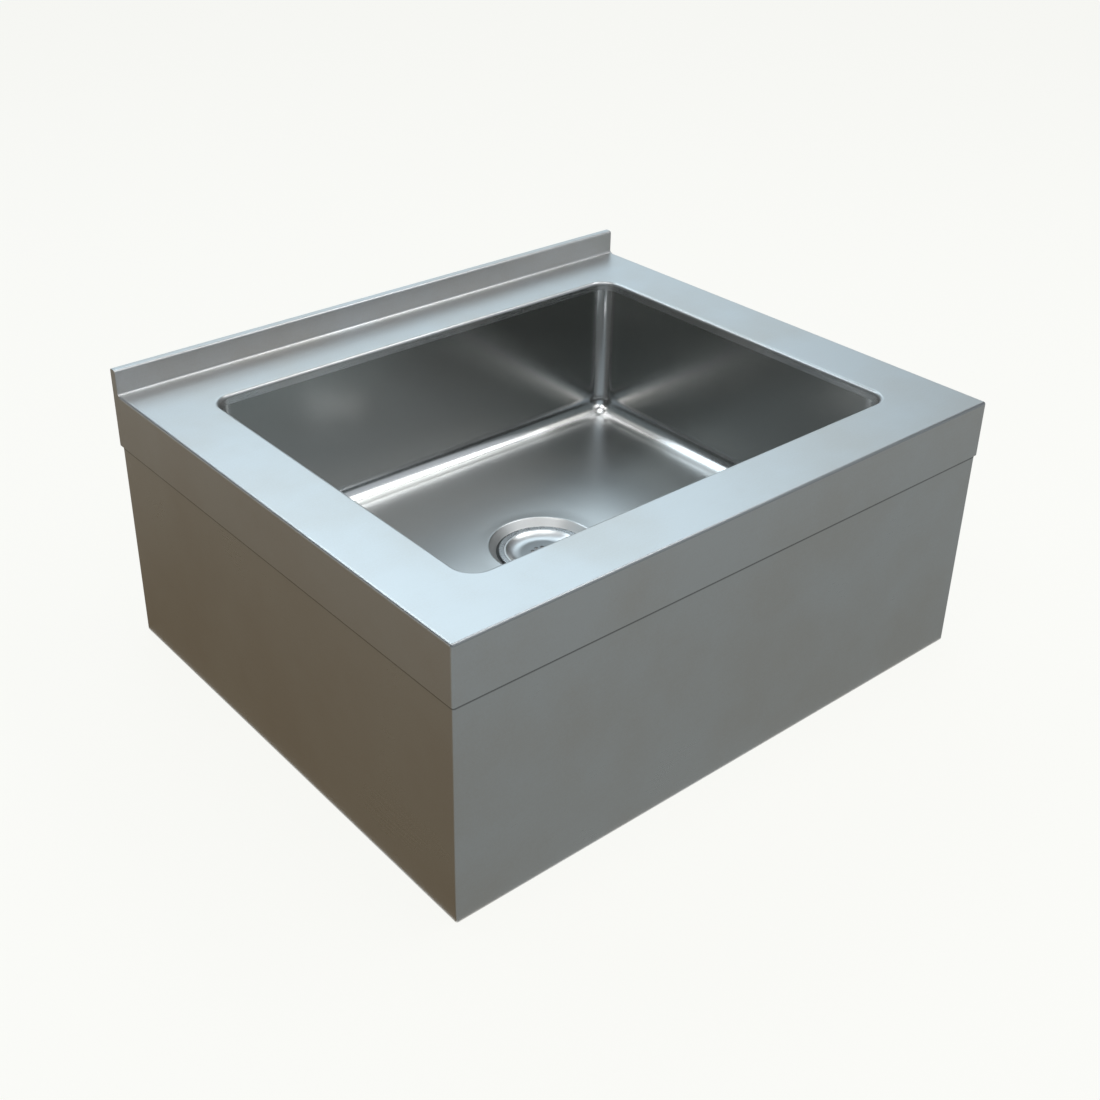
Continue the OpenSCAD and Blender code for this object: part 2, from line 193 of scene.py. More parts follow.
def capSheet(shell, loop, column, facing):  # closes the cut end of a swept sheet
    _, seen, hidden, rims = loop
    quads = [(a[0], b[0], d[0], c[0]) for a, b, c, d in zip(seen, seen[1:], hidden, hidden[1:])]
    quads += [[p for p, _ in rim] for rim in rims.values()]
    for quad in quads:
        shell.face([(place(p, column), facing) for p in quad])


def roundOutline(width, length, radius, centre, cornerSteps, sideSteps=(1, 1)):
    # Columns anticlockwise round a rectangle with round corners, from the front end of the right side
    columns = []
    w, l = width / 2 - radius, length / 2 - radius
    sides = [((w, -l), (w, l), 0, sideSteps[1]), ((w, l), (-w, l), 90, sideSteps[0]),
             ((-w, l), (-w, -l), 180, sideSteps[1]), ((-w, -l), (w, -l), 270, sideSteps[0])]
    for start, stop, turn, steps in sides:
        out = spoke(turn)
        a, b = Vector(start) + Vector(centre), Vector(stop) + Vector(centre)
        columns += [(a.lerp(b, i / steps) + out * radius, out) for i in range(steps)]
        outs = [spoke(turn + 90 * i / cornerSteps) for i in range(cornerSteps)]
        columns += [(b + out * radius, out) for out in outs]
    return columns


def ringColumns(centre, angles):
    return [(Vector(centre), heading(a)) for a in angles]


def evenAngles(count):
    return [2 * math.pi * i / count for i in range(count)]


def slab(shell, outline, low, high, where, edge):
    # a plate with eased edges; where(u, v, w) sets a point in space
    up = (where(0, 0, 1) - where(0, 0, 0)).normalized()

    def turned(n):
        return (where(n.x, n.y, 0) - where(0, 0, 0)).normalized()
    bands = (low + edge, high - edge, 0, 0), (high - edge, high, 0, 1), (low + edge, low, 0, -1)
    for (p0, n0), (p1, n1) in outline:
        for w0, w1, k0, k1 in bands:
            corners = []
            for p, n, w, k in ((p0, n0, w0, k0), (p1, n1, w0, k0), (p1, n1, w1, k1), (p0, n0, w1, k1)):
                inset = edge if k else 0
                corners.append((where(p.x - n.x * inset, p.y - n.y * inset, w), up * k if k else turned(n)))
            shell.face(corners)
    for w, facing in ((high, up), (low, -up)):
        shell.face([(where(p.x - n.x * edge, p.y - n.y * edge, w), facing) for (p, n), _ in outline])


def finer(segments, longest):  # the same outline in shorter steps
    result = []
    for (p0, n0), (p1, n1) in segments:
        count = max(1, math.ceil((p1 - p0).length / longest))
        spots = [(p0.lerp(p1, i / count), n0.lerp(n1, i / count)) for i in range(count + 1)]
        result += pairs(spots)
    return result


def boredPlate(shell, outline, centre, bore, low, high, edge):
    # every point of the outline sees the bore's centre
    middle = Vector(centre)
    for start, stop in outline:
        sections = []
        for p, n in (start, stop):
            arm = (p - middle).normalized()
            hole = middle + arm * bore
            steps = [(p - n * edge, low, n, -1), (p, low + edge, n, 0),
                     (p, high - edge, n, 0), (p - n * edge, high, n, 1),
                     (hole + arm * edge, high, -arm, 1), (hole, high - edge, -arm, 0),
                     (hole, low + edge, -arm, 0), (hole + arm * edge, low, -arm, -1)]
            sections.append([(Vector((*q, z)), Vector((*m, 0)), k) for q, z, m, k in steps])
        here, there = sections
        for i in range(len(here)):
            j = (i + 1) % len(here)
            corners = (here[i], here[j], there[j], there[i])
            shell.face([(point, Vector((0, 0, k)) if k else side) for point, side, k in corners])


def thread(shell, middle, radius, depth, pitch, low, high, count, perTurn=6):
    # a screw thread that runs out into the plain barrel at both ends
    rows = math.ceil((high - low) / pitch * perTurn)

    def spot(turn, z):
        fade = min(1, (z - low) / pitch, (high - z) / pitch)
        return radius - depth * fade * (0.5 + 0.5 * math.cos(2 * math.pi * z / pitch - turn))

    def corner(i, j):
        turn, z = 2 * math.pi * i / count, low + (high - low) * j / rows
        r, step = spot(turn, z), pitch / 100
        rise = (spot(turn, min(z + step, high)) - spot(turn, max(z - step, low))) / (2 * step)
        out = heading(turn).to_3d()
        return Vector((*middle, z)) + out * r, (out - Vector((0, 0, rise))).normalized()
    for i in range(count):
        beside = (i + 1) % count
        for j in range(rows):
            shell.face([corner(i, j), corner(beside, j), corner(beside, j + 1), corner(i, j + 1)])


# Materials

def added(tree, kind, inputs, output=0, **settings):
    # a new node; an input is a value, a socket or a list of sockets
    node = tree.nodes.new(kind)
    for key, value in settings.items():
        setattr(node, key, value)
    for key, value in inputs.items():
        if isinstance(value, (list, bpy.types.NodeSocket)):
            for socket in value if isinstance(value, list) else [value]:
                tree.links.new(socket, node.inputs[key])
        else:
            node.inputs[key].default_value = value
    return node.outputs[output]


def nodeKit(name):
    material = bpy.data.materials.new(name)
    material.use_nodes = True
    tree = material.node_tree
    return material, tree, tree.nodes["Principled BSDF"]


def placeOn(tree):  # where on the object a point lies, as one socket and as its three axes
    where = added(tree, "ShaderNodeTexCoord", {}, "Object")
    apart = tree.nodes.new("ShaderNodeSeparateXYZ")
    tree.links.new(where, apart.inputs["Vector"])
    return where, apart.outputs


def fillIn(shader, inputs):
    for key, value in inputs.items():
        shader.id_data.links.new(value, shader.inputs[key])


def noise(tree, vector, scale, detail=2.0, roughness=0.5):
    look = {"Vector": vector, "Scale": scale, "Detail": detail, "Roughness": roughness}
    return added(tree, "ShaderNodeTexNoise", look)


def ranged(tree, value, fromLow, fromHigh, toLow, toHigh):
    limits = {"From Min": fromLow, "From Max": fromHigh, "To Min": toLow, "To Max": toHigh}
    return added(tree, "ShaderNodeMapRange", {"Value": value, **limits})


def mathNode(tree, operation, a, b=0):
    return added(tree, "ShaderNodeMath", {0: a, 1: b}, operation=operation)


def mixColour(tree, factor, a, b):
    ends = {key: (*value, 1) if isinstance(value, tuple) else value for key, value in (("A", a), ("B", b))}
    return added(tree, "ShaderNodeMix", {"Factor": factor, **ends}, "Result", data_type="RGBA")


def bump(tree, height, distance, **under):
    return added(tree, "ShaderNodeBump", {"Strength": 1.0, "Distance": distance, "Height": height, **under})


noiseSpread = (0.3, 0.7)  # where most values of a noise lie
steelFinish = {
    "tint": (0.608, 0.619, 0.624),
    "shade": (0.575, 0.565, 0.548),
    "patches": (0.0, 0.85),
    # a painted highlight for the coves and upright corners
    "buffedHighlight": (0.74, 0.74, 0.74),
    # a painted shade for the bowl's walls
    "wallShadeTint": (0.38, 0.382, 0.368),
    "patchSpread": (0.36, 0.64),
    "grainFine": 2600,
    "grainLong": 45,
    "grainDepth": 0.0035 * mm,
    "grainRough": 0.02,
    "grainTint": 0.12,
    "speckleTint": 0.25,
    "waveDepth": 0.08 * mm,
    "grainNoise": (1.0, 3.0, 0.6),  # scale, detail and roughness of a noise
    "cloudNoise": (9.0, 3.0, 0.55),
    "speckleNoise": (620, 2.0, 0.7),
    "waveNoise": (5.5, 1.0, 0.4),
    # the colour of the painted shadow and shade
    "dark": (0.03, 0.03, 0.03),
    # a painted shade just below the band's edge on the skirts
    "seamShadeReach": (2.2 * mm, 3.2 * mm),
    "seamShadeShare": 0.62,
    # a painted light for the bowl's floor
    "floorLightTint": (0.73, 0.745, 0.745),
    "floorLightShare": 0.5,
    "coveHeights": (112.4 * mm, 132 * mm),
    "coveFades": (3 * mm, 6 * mm),  # at the floor, at the walls
    "buffSmooth": 0.12,
    "wallSmooth": 0.08,
    "cornerStart": (232 * mm, 176 * mm, 12 * mm),  # in x, in y, and over how far it sets in
    # a painted shadow in the gap round the drain
    "gapHeights": (100.7 * mm, 101 * mm),
    "gapShadowShare": 0.92,
    "recessHeights": (106.5 * mm, 108 * mm),
    "recessRough": 0.16,
    "collarStart": (255 * mm, 204 * mm, 1 * mm),
    "collarHeights": (268.5 * mm, 270 * mm),
    "collarSmooth": 0.1,
    "bendHeights": (269.8 * mm, 270.6 * mm),
    "bendDepths": (-265.3 * mm, -264.4 * mm),
    # a painted shade for the front bend
    "bendShadeTint": (0.36, 0.375, 0.385),
}


def satinSteel(name, grain, roughness, wave=1.0, seamShadeTop=None, bowl=False, collar=False):
    # grain is the axis that the belt ran along, or "round" for a finish without a direction;
    # the seam height is that of the band's lower edge, and just below it the sheet gets a painted shade of
    # the overhang
    f = steelFinish
    material, tree, shader = nodeKit(name)
    where, axes = placeOn(tree)
    scale = tuple(f["grainLong"] if grain == axis else f["grainFine"] for axis in "xyz")
    stretched = added(tree, "ShaderNodeMapping", {"Vector": where, "Scale": scale})
    grainHeight = noise(tree, stretched, *f["grainNoise"])
    cloud, speckle, waves = (
        noise(tree, where, *look) for look in picked(f, "cloudNoise", "speckleNoise", "waveNoise"))

    def varied(base, value, reach):
        return mathNode(tree, "ADD", base, ranged(tree, value, *noiseSpread, -reach, reach))

    def both(a, b):
        return mathNode(tree, "MULTIPLY", a, b)

    def atHeight(low, high, under, over):
        return ranged(tree, axes["Z"], low, high, under, over)

    def beyond(axis, start, reach):
        return ranged(tree, mathNode(tree, "ABSOLUTE", axes[axis]), start, start + reach, 0, 1)

    def smoother(share):
        return mathNode(tree, "SUBTRACT", rough, share)

    def tinted(share, tint):
        return mixColour(tree, share, colour, tint)
    rough = varied(ranged(tree, cloud, *noiseSpread, *roughness), grainHeight, f["grainRough"])
    factor = varied(ranged(tree, cloud, *f["patchSpread"], *f["patches"]), grainHeight, f["grainTint"])
    colour = mixColour(tree, varied(factor, speckle, f["speckleTint"]), f["tint"], f["shade"])
    if bowl:
        # coves and upright corners are buffed smoother, and their brighter tint is a painted highlight;
        # the floor gets a painted light, the walls a painted shade, and the gap round the drain a painted
        # shadow
        (low, high), (lowFade, highFade) = f["coveHeights"], f["coveFades"]
        overFloor, onWall = (low, low + lowFade), (high - highFade, high)
        cove = both(atHeight(*overFloor, 0, 1), atHeight(*onWall, 1, 0))
        startX, startY, reach = f["cornerStart"]
        buffedHighlight = mathNode(tree, "MAXIMUM", cove, both(beyond("X", startX, reach), beyond("Y", startY, reach)))
        rough = smoother(both(buffedHighlight, f["buffSmooth"]))
        rough = smoother(atHeight(*onWall, 0, f["wallSmooth"]))
        rough = mathNode(tree, "ADD", rough, atHeight(*f["recessHeights"], f["recessRough"], 0))
        # painted light: the floor is lighter than the walls
        colour = tinted(atHeight(*overFloor, f["floorLightShare"], 0), f["floorLightTint"])
        # painted shade: the walls are darker than the flats
        colour = tinted(atHeight(*onWall, 0, 1), f["wallShadeTint"])
        # painted highlight: a brighter tint on the coves and upright corners
        colour = tinted(buffedHighlight, f["buffedHighlight"])
        # painted shadow: the seat in the gap round the drain is dark
        colour = tinted(atHeight(*f["gapHeights"], f["gapShadowShare"], 0), f["dark"])
    if collar:
        # the lip's collar has the bowl's finish, and the bend along the front gets a painted shade that dims
        # its highlight
        startX, startY, reach = f["collarStart"]
        outside = mathNode(tree, "ADD", beyond("X", startX, reach), beyond("Y", startY, reach))
        inside = mathNode(tree, "LESS_THAN", outside, 0.5)
        rough = smoother(both(atHeight(*f["collarHeights"], f["collarSmooth"], 0), inside))
        # painted shade along the front bend
        front = ranged(tree, axes["Y"], *f["bendDepths"], 1, 0)
        colour = tinted(both(atHeight(*f["bendHeights"], 0, 1), front), f["bendShadeTint"])
    # painted shade: the skirt is darkened just below the band's edge
    if seamShadeTop:
        start, stop = f["seamShadeReach"]
        colour = tinted(atHeight(seamShadeTop - stop, seamShadeTop - start, 0, f["seamShadeShare"]), f["dark"])
    shader.inputs["Metallic"].default_value = 1.0
    grained = bump(tree, grainHeight, f["grainDepth"], Normal=bump(tree, waves, f["waveDepth"] * wave))
    fillIn(shader, {"Roughness": rough, "Base Color": colour, "Normal": grained})
    return material


cupShadeReach = (23 * mm, 31 * mm)  # from the drain's axis, where the cup's painted shade in the middle gives way to its bright tint


def cloudy(name, tint, shade, roughness, scale, depth, detail, spread, metallic=0.0, middle=None):
    # one mottled surface; middle is a painted shade round the drain's axis
    material, tree, shader = nodeKit(name)
    where, _ = placeOn(tree)
    cloud = noise(tree, where, scale, *detail)
    colour = mixColour(tree, ranged(tree, cloud, *spread, 0, 1), tint, shade)
    if middle:
        flat = added(tree, "ShaderNodeVectorMath", {0: where, 1: (1, 1, 0)}, operation="MULTIPLY")
        ends = {0: flat, 1: (*drainMiddle, 0)}
        away = added(tree, "ShaderNodeVectorMath", ends, "Value", operation="DISTANCE")
        # painted shade round the drain's axis
        colour = mixColour(tree, ranged(tree, away, *cupShadeReach, 0, 1), middle, colour)
    shader.inputs["Metallic"].default_value = metallic
    rough = ranged(tree, cloud, *noiseSpread, *roughness)
    fillIn(shader, {"Roughness": rough, "Base Color": colour, "Normal": bump(tree, cloud, depth)})
    return material


def plainMetal(*look, middle=None):
    return cloudy(*look, (4.0, 0.6), (0.35, 0.7), 1.0, middle)


def dullMaterial(*look):
    return cloudy(*look, (5.0, 0.65), noiseSpread)


print("materials")
deckSteel = satinSteel("deckSteel", "x", (0.36, 0.40), collar=True)
bowlSteel = satinSteel("bowlSteel", "round", (0.30, 0.34), 0.6, bowl=True)
skirtSteelX = satinSteel("skirtSteelX", "x", (0.28, 0.34), seamShadeTop=215.9 * mm)
skirtSteelY = satinSteel("skirtSteelY", "y", (0.28, 0.34), seamShadeTop=215.9 * mm)
# name, tint, shade, roughness, scale of the mottling and its depth
rawSteel = plainMetal("rawSteel", (0.50, 0.51, 0.52), (0.40, 0.41, 0.42), (0.35, 0.5), 60, 0.02 * mm)
fastenerSteel = plainMetal(
    "fastenerSteel", (0.56, 0.56, 0.55), (0.42, 0.42, 0.42), (0.28, 0.4), 300, 0.01 * mm)
drainMetal = plainMetal("drainMetal", (0.60, 0.61, 0.62), (0.54, 0.55, 0.56), (0.24, 0.32), 120, 0.002 * mm)
# the cup's middle gets a painted shade
cupMetal = plainMetal("cupMetal", (0.94, 0.94, 0.94), (0.89, 0.89, 0.89), (0.29, 0.33), 60, 0.0005 * mm,
                      middle=(0.42, 0.43, 0.44))
brass = plainMetal("brass", (0.72, 0.55, 0.28), (0.55, 0.40, 0.19), (0.3, 0.45), 180, 0.02 * mm)
padRubber = dullMaterial("padRubber", (0.045, 0.045, 0.047), (0.07, 0.07, 0.07), (0.6, 0.8), 400, 0.06 * mm)
sealRubber = dullMaterial("sealRubber", (0.03, 0.03, 0.03), (0.05, 0.05, 0.05), (0.45, 0.6), 500, 0.02 * mm)
fibreBoard = dullMaterial("fibreBoard", (0.42, 0.28, 0.16), (0.30, 0.19, 0.10), (0.7, 0.9), 700, 0.03 * mm)


# Deck: top sheet, rolled lip, turned-down band and riser, all one bent sheet
print("deck")
deckSizes = {
    "width": 635 * mm,
    "depth": 533.4 * mm,
    "height": 272.5 * mm,
    "sheet": 1.5 * mm,
    "bend": 2.5 * mm,
    "bandHeight": 56.6 * mm,
    "riserHeight": 26 * mm,
    "riserThickness": 9.5 * mm,
    "riserCove": 3 * mm,
    "lipRadius": 4 * mm,
    "collarDrop": 10 * mm,
    "bendSteps": 8,
    "cornerTurn": 15,  # degrees in one step of the outer corners
    "cornerSteps": 12,
    "capSteps": 6,
    "capEdge": 0.12 * mm,
}
bowlSizes = {
    "width": 505 * mm,
    "length": 396.9 * mm,
    "middleY": -4.25 * mm,
    "cove": 20 * mm,
    "floor": 112 * mm,
    "fall": 4 * mm,
    "fallCurve": 1.6,
    "fallCorners": 4,  # 2 would make the lines of equal height ellipses, more makes them squarer
    "coveSteps": 14,
    "floorRings": 14,
    "sideSteps": (40, 32),
}

width, depth, deckTop = deckSizes["width"], deckSizes["depth"], deckSizes["height"]
sheet, bend = deckSizes["sheet"], deckSizes["bend"]
bandLow = deckTop - deckSizes["bandHeight"]
riserFace = depth / 2 - deckSizes["riserThickness"]
coveStart = riserFace - deckSizes["riserCove"]
riserTop = deckTop + deckSizes["riserHeight"]
collarLow = deckTop - deckSizes["collarDrop"]
bowlMiddle = (0, bowlSizes["middleY"])


def makeDeck():
    shell = Shell()
    steps, cornerSteps, lip, riserCove = picked(
        deckSizes, "bendSteps", "cornerSteps", "lipRadius", "riserCove")
    innerX, frontY = width / 2 - bend, -depth / 2 + bend
    bandPath = arcPath((-bend, deckTop - bend), bend, 90, 0, steps) + [at(0, bandLow, outward)]
    legPath = [at(0, deckTop - bend, outward), at(0, bandLow, outward)]
    # the band runs from the riser's right end, round the front, to its left end
    right = [at(width / 2, y, outward) for y in (depth / 2, coveStart)]
    left = [at(-width / 2, y, inward) for y in (coveStart, depth / 2)]
    corners = []
    for end, first in ((1, 0), (-1, 270)):
        for out in (spoke(first - a) for a in range(0, 91, deckSizes["cornerTurn"])):
            corners.append((Vector((end * innerX, frontY)) + bend * out, out))
    sweep(shell, sheetLoop(bandPath, sheet)[0], right[1:] + corners + left[:1], False)
    legLoop = sheetLoop(legPath, sheet, (True, True), 0)
    edgedLeg = sheetLoop(legPath, sheet, (False, True))
    for pair in (right, left):
        sweep(shell, edgedLeg[0], pair, False)
        sweep(shell, pairs(legLoop[3][0]), pair, False)
    bendLoop = sheetLoop(bandPath[:-1], sheet, (False, False))
    cuts = (bendLoop, right[1]), (bendLoop, left[0]), (edgedLeg, right[0]), (edgedLeg, left[1])
    for loop, column in cuts:
        capSheet(shell, loop, column, (0, 1, 0))
    # the lip rolls down into the bowl
    lipPath = arcPath((lip, deckTop - lip), lip, 90, 180, steps) + [at(0, collarLow, inward)]
    lipColumns = roundOutline(*picked(bowlSizes, "width", "length", "cove"), bowlMiddle, cornerSteps)
    sweep(shell, sheetLoop(lipPath, sheet, (False, True), 0)[0], lipColumns, True)
    # flat top between lip and bends, and its underside
    outer = [(innerX, coveStart), (-innerX, coveStart), (-innerX, frontY), (innerX, frontY)]
    for z, facing in ((deckTop, (0, 0, 1)), (deckTop - sheet, (0, 0, -1))):
        ring = [(place((lip, z), column), facing) for column in lipColumns]
        for k in range(4):
            post, last = ((Vector((*outer[i], z)), facing) for i in (k, k - 1))
            first = k * (cornerSteps + 1)
            for i in range(first + 1, first + 1 + cornerSteps):
                shell.face([ring[i], ring[(i + 1) % len(ring)], post])
            shell.face([ring[first], ring[first + 1], post, last])
    # the riser: up, over and down the wall side
    riserPath = arcPath((coveStart, deckTop + riserCove), riserCove, 270, 360, steps, -1)
    riserPath += arcPath((riserFace + bend, riserTop - bend), bend, 180, 90, steps)
    riserPath += arcPath((depth / 2 - bend, riserTop - bend), bend, 90, 0, steps)
    riserPath += [at(depth / 2, bandLow, outward)]
    riserLoop = sheetLoop(riserPath, sheet)
    reach = width / 2 - sheet
    across = [at(x, 0, upward) for x in (-reach, -innerX, innerX, reach)]
    sweep(shell, riserLoop[0], across, False)
    for column, side in ((across[0], -1), (across[-1], 1)):
        capSheet(shell, riserLoop, column, (side, 0, 0))
    for a, b in (across[:2], across[2:]):
        shell.face([(place((coveStart, z), c), (0, -1, 0))
                    for z, c in ((deckTop, a), (deckTop, b), (deckTop - sheet, b), (deckTop - sheet, a))])
    return shell.build("deckSheet", deckSteel)


def makeRiserCap(side):
    shell = Shell()
    low = deckTop - bend
    outline = roundedLoop([
        (coveStart, low, 0), (depth / 2, low, 0), (depth / 2, riserTop, bend), (riserFace, riserTop, bend),
        (riserFace, deckTop, deckSizes["riserCove"]), (coveStart, deckTop, 0)], deckSizes["capSteps"])
    inner, outerFace = sorted((side * (width / 2 - sheet), side * width / 2))
    slab(shell, outline, inner, outerFace, lambda u, v, w: Vector((w, u, v)), deckSizes["capEdge"])
    return shell.build("riserCapLeft" if side < 0 else "riserCapRight", deckSteel)


# Bowl
print("bowl")
recessSizes = {
    "seatHeight": 100.5 * mm,
    "seatRadius": 47.4 * mm,
    "wallRadius": 56.967 * mm,
    "holeRadius": 42.2 * mm,
    "bend": 2.5 * mm,
    "steps": 6,
}


def floorHeight(x, y):  # falls gently from the coves to the recess, without a crease
    a, b = bowlSizes["width"] / 2 - bowlSizes["cove"], bowlSizes["length"] / 2 - bowlSizes["cove"]
    mouth = recessSizes["wallRadius"] + recessSizes["bend"]
    dx, dy = x - drainMiddle[0], y - drainMiddle[1]
    r = max(math.hypot(dx, dy), 1e-9)
    ux, uy = dx / r, dy / r
    power = bowlSizes["fallCorners"]
    reach = 1 / ((abs(ux) / a) ** power + (abs(uy) / b) ** power) ** (1 / power)
    share = min(max((r - mouth) / (reach - mouth), 0), 1)
    return bowlSizes["floor"] - bowlSizes["fall"] * (1 - share) ** bowlSizes["fallCurve"]


def floorNormal(x, y):
    step = 0.5 * mm
    sx = (floorHeight(x + step, y) - floorHeight(x - step, y)) / (2 * step)
    sy = (floorHeight(x, y + step) - floorHeight(x, y - step)) / (2 * step)
    return Vector((-sx, -sy, 1)).normalized()


def makeBowl():
    shell = Shell()
    b = bowlSizes
    cove, floorZ = b["cove"], b["floor"]
    wallPath = [at(0, collarLow, inward)] + arcPath((-cove, floorZ + cove), cove, 0, -90, b["coveSteps"], -1)
    columns = roundOutline(
        b["width"], b["length"], cove, bowlMiddle, deckSizes["cornerSteps"], b["sideSteps"])
    sweep(shell, sheetLoop(wallPath, sheet, (True, False), 0)[0], columns, True)
    # floor: rays from the recess out to the coves
    mouthRadius = recessSizes["wallRadius"] + recessSizes["bend"]
    centre = Vector(drainMiddle)
    edgePoints = []
    for column in columns:
        p = place((-cove, floorZ), column)
        if not edgePoints or (edgePoints[-1] - p).length > 1e-7:
            edgePoints.append(p)
    if (edgePoints[0] - edgePoints[-1]).length < 1e-7:
        edgePoints.pop()
    angles = [math.atan2(p.y - centre.y, p.x - centre.x) for p in edgePoints]
    rings = b["floorRings"]
    grid = []
    for p, angle in zip(edgePoints, angles):
        start = centre + mouthRadius * heading(angle)
        ray = [start.lerp(Vector(p[:2]), i / rings) for i in range(rings + 1)]
        grid.append([(Vector((*q, floorHeight(*q))), floorNormal(*q)) for q in ray])
        for end, z in ((0, grid[-1][0][0].z), (rings, p.z)):
            grid[-1][end] = (Vector((*ray[end], z)), Vector((0, 0, 1)))
    drop = Vector((0, 0, sheet))
    for ray, beside in zip(grid, grid[1:] + grid[:1]):
        for i in range(rings):
            quad = [ray[i], ray[i + 1], beside[i + 1], beside[i]]
            shell.face(quad)
            shell.face([(p - drop, -n) for p, n in quad])
    # the stamped recess
    seatZ, seatR, wallR, small, steps = picked(
        recessSizes, "seatHeight", "seatRadius", "wallRadius", "bend", "steps")
    mouthZ = floorZ - b["fall"]
    path = [at(mouthRadius, mouthZ, upward)] + arcPath((wallR, mouthZ - small), small, 90, 135, steps)
    path += arcPath((seatR, seatZ + small), small, 315, 270, steps, -1)
    path += [at(recessSizes["holeRadius"], seatZ, upward)]
    sweep(shell, sheetLoop(path, sheet)[0], ringColumns(drainMiddle, angles), True)
    return shell.build("bowlShell", bowlSteel)


# Skirt: four panels with a flange along the floor
print("skirt")
skirtSizes = {
    "top": 250.9 * mm,
    "foot": 2.0 * mm,
    "flange": 25 * mm,
    "edge": 0.15 * mm,
    "steps": 6,
}


def makeSkirt(name, turn, face, length, material):
    shell = Shell()
    top, foot, flange, edge, steps = picked(skirtSizes, "top", "foot", "flange", "edge", "steps")
    half = length / 2
    path = [at(0, top, outward)] + arcPath((-foot, foot), foot, 0, -90, steps) + [at(-bend, 0, downward)]
    loop = sheetLoop(path, sheet, (True, False), edge)
    columns = []
    for end, first in ((-1, -45), (1, 0)):
        for out in (spoke(first + 45 * i / steps) for i in range(steps + 1)):
            columns.append((Vector((face - bend, end * (half - bend))) + out * bend, out))
    sweep(shell, loop[0], columns, False)
    for column, end in ((columns[0], -1), (columns[-1], 1)):
        capSheet(shell, loop, column, Vector((-1, end, 0)).normalized())
    # mitred floor flange
    near, far = half - bend, half - flange
    ring = [(face - bend, -near), (face - bend, near), (face - flange, far), (face - flange, -far)]
    for z, facing in ((0, (0, 0, -1)), (sheet, (0, 0, 1))):
        shell.face([(Vector((*p, z)), facing) for p in ring])
    for a, b, side in zip(ring[1:], ring[2:] + ring[:1], (1, 0, -1)):
        shell.face([(Vector((*p, z)), (-1, side, 0)) for p, z in ((a, 0), (b, 0), (b, sheet), (a, sheet))])
    shell.move(Matrix.Rotation(math.radians(turn), 4, "Z"))
    return shell.build(name, material)


# Drain and crumb cup
print("drain")
drainSizes = {
    "flangeRadius": 45.8 * mm,
    "flangeTop": 102.6 * mm,
    "flangeLow": 101.0 * mm,
    "cupEdge": 40.9 * mm,
    "ledge": 101.3 * mm,
    "bore": 39.4 * mm,
    "barrel": 41.5 * mm,
    "barrelLow": 65.0 * mm,
    "coneLow": 55.0 * mm,
    "outletBore": 26.25 * mm,
    "outlet": 30.15 * mm,
    "outletLow": 25.0 * mm,
    "pitch": 2.1 * mm,
    "threadDepth": 0.7 * mm,
    "sharp": 0,
    "fine": 0.25 * mm,
    "rimRound": 0.6 * mm,
    "throatRound": 2 * mm,
    "mouthRound": 0.4 * mm,
    "neckRound": 1 * mm,
}
cupSizes = {
    "rim": 40.6 * mm,
    "rimWidth": 1.6 * mm,
    "thickness": 1.0 * mm,
    "top": 102.6 * mm,
    "floor": 98.3 * mm,
    "floorRadius": 24.5 * mm,
    "holeRadius": 2.0 * mm,
    "holeStep": 6.2 * mm,
    "holeRings": 2,
    "holeRound": 32,
    "plateRadius": 20.0 * mm,
    "edge": 0.15 * mm,
    "ease": (0.25 * mm, 0.13 * mm),
    "steps": 14,
}


def revolve(shell, segments):
    sweep(shell, segments, ringColumns(drainMiddle, evenAngles(drainRound)), True)


def makeDrain():
    shell = Shell()
    d = drainSizes
    outline = roundedLoop([picked(d, *corner) for corner in (
        ("barrel", "flangeLow", "sharp"), ("flangeRadius", "flangeLow", "fine"),
        ("flangeRadius", "flangeTop", "rimRound"), ("cupEdge", "flangeTop", "fine"),
        ("cupEdge", "ledge", "sharp"), ("bore", "ledge", "fine"),
        ("bore", "barrelLow", "throatRound"), ("outletBore", "coneLow", "throatRound"),
        ("outletBore", "outletLow", "mouthRound"), ("outlet", "outletLow", "rimRound"),
        ("outlet", "coneLow", "neckRound"), ("barrel", "barrelLow", "neckRound"))], 5)
    # the thread takes the place of the one long upright line at the barrel's radius
    barrel, = [(a, b) for a, b in outline if a[0].x > d["barrel"] - 1e-6 and abs(a[0].y - b[0].y) > 20 * mm]
    revolve(shell, [line for line in outline if line != barrel])
    low, high = sorted(point.y for point, _ in barrel)
    thread(shell, drainMiddle, d["barrel"], d["threadDepth"], d["pitch"], low, high, drainRound)
    return shell.build("drainBody", drainMetal)


def makeCupDish():
    c = cupSizes
    rise, run = c["top"] - c["floor"], c["rim"] - c["rimWidth"] - c["floorRadius"]
    radius = (run * run + rise * rise) / (2 * rise)
    turn = math.degrees(math.asin(run / radius))
    centre = (c["floorRadius"], c["floor"] + radius)
    path = [at(c["plateRadius"], c["floor"], upward)]
    path += arcPath(centre, radius, 270, 270 + turn, c["steps"], -1)
    t, top, rim, edge = picked(c, "thickness", "top", "rim", "edge")
    rimIn, (easeIn, easeDown) = rim - c["rimWidth"], c["ease"]
    shell = Shell()
    # the dish eases over into the flat rim
    over = path[:-1] + [at(rimIn - easeIn, top - easeDown, Vector((-0.4, 0.9)).normalized()),
                        at(rimIn + edge, top, upward), at(rim - edge, top, upward),
                        at(rim, top - edge, outward), at(rim, top - t, outward)]
    under = arcPath(centre, radius + t, 270 + turn, 270, c["steps"])
    under = [(p, n) for p, n in under if p.y <= top - t + 1e-9]
    below = [at(rim, top - t, downward), at(under[0][0].x, top - t, downward)] + under
    foot = [at(c[key], c["floor"] - t, downward) for key in ("floorRadius", "plateRadius")]
    revolve(shell, pairs(over) + pairs(below) + pairs(foot))
    return shell.build("cupDish", cupMetal)


